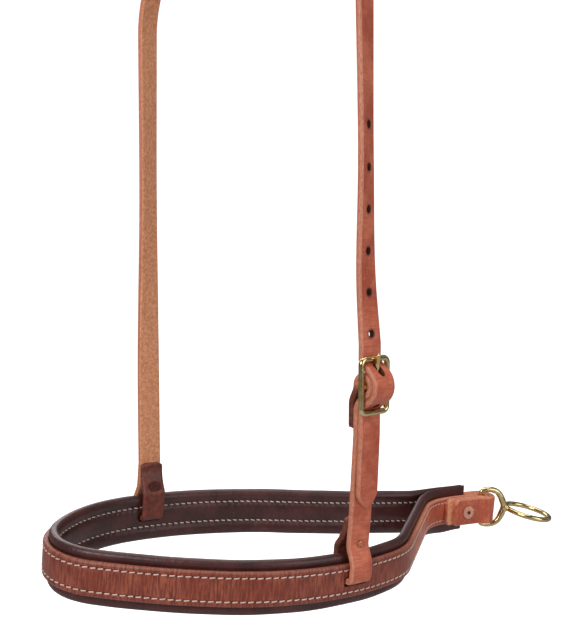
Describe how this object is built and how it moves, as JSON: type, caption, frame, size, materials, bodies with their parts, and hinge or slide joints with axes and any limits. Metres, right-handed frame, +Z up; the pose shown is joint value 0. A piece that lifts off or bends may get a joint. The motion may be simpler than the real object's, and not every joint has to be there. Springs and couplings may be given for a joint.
{
  "type": "bitless hackamore",
  "caption": "Leather bitless noseband with padded burgundy lining, hung on a buckled headstall strap, with a riveted brass ring at the chin.",
  "frame": {"origin": "under the middle of the crown, on the strap's inner face, where it rests on the horse's poll", "axes": "+Z up along the hanging headstall, +X towards the ring end, +Y from the buckle side to the plain side"},
  "size_m": [0.3654, 0.2239, 0.4536],
  "materials": {
    "harness_leather": "satin",
    "lining_leather": "satin",
    "padding_foam": "matte",
    "white_thread": "matte",
    "solid_brass": "polished",
    "copper": "satin"
  },
  "bodies": {
    "headstall": {"headstall_strap": "harness_leather", "hanger_strap": "harness_leather", "buckle_frame": "solid_brass", "chape_rivet": "copper", "chape_burr": "copper", "hanger_rivet": "copper", "hanger_burr": "copper", "cheek_rivet": "copper", "cheek_burr": "copper"},
    "noseband": {"noseband_strap": "harness_leather", "noseband_lining": "lining_leather", "noseband_padding": "padding_foam", "outer_stitching_upper": "white_thread", "outer_stitching_lower": "white_thread", "inner_stitching_upper": "white_thread", "inner_stitching_lower": "white_thread", "tab_rivet": "copper", "tab_burr": "copper"},
    "tongue": {"buckle_tongue": "solid_brass"},
    "ring": {"tie_ring": "solid_brass"}
  },
  "joints": [
    {"name": "noseband_tilt", "type": "hinge", "parent": "headstall", "child": "noseband", "pos_m": [0.0653, -0.0473, -0.42425], "axis": [-0.8462, 0.5288, 0.0654], "range_deg": [-6, 6], "stiffness_Nm_per_rad": 2},
    {"name": "tie_ring_swing", "type": "hinge", "parent": "noseband", "child": "ring", "pos_m": [0.18115, 0.11663, -0.4332], "axis": [0.0253, -0.0073, 0.9997], "range_deg": [-50, 90]},
    {"name": "buckle_tongue_lift", "type": "hinge", "parent": "headstall", "child": "tongue", "pos_m": [0.0763, -0.057, -0.30375], "axis": [0.788, 0.6157, 0], "range_deg": [0, 10]}
  ]
}
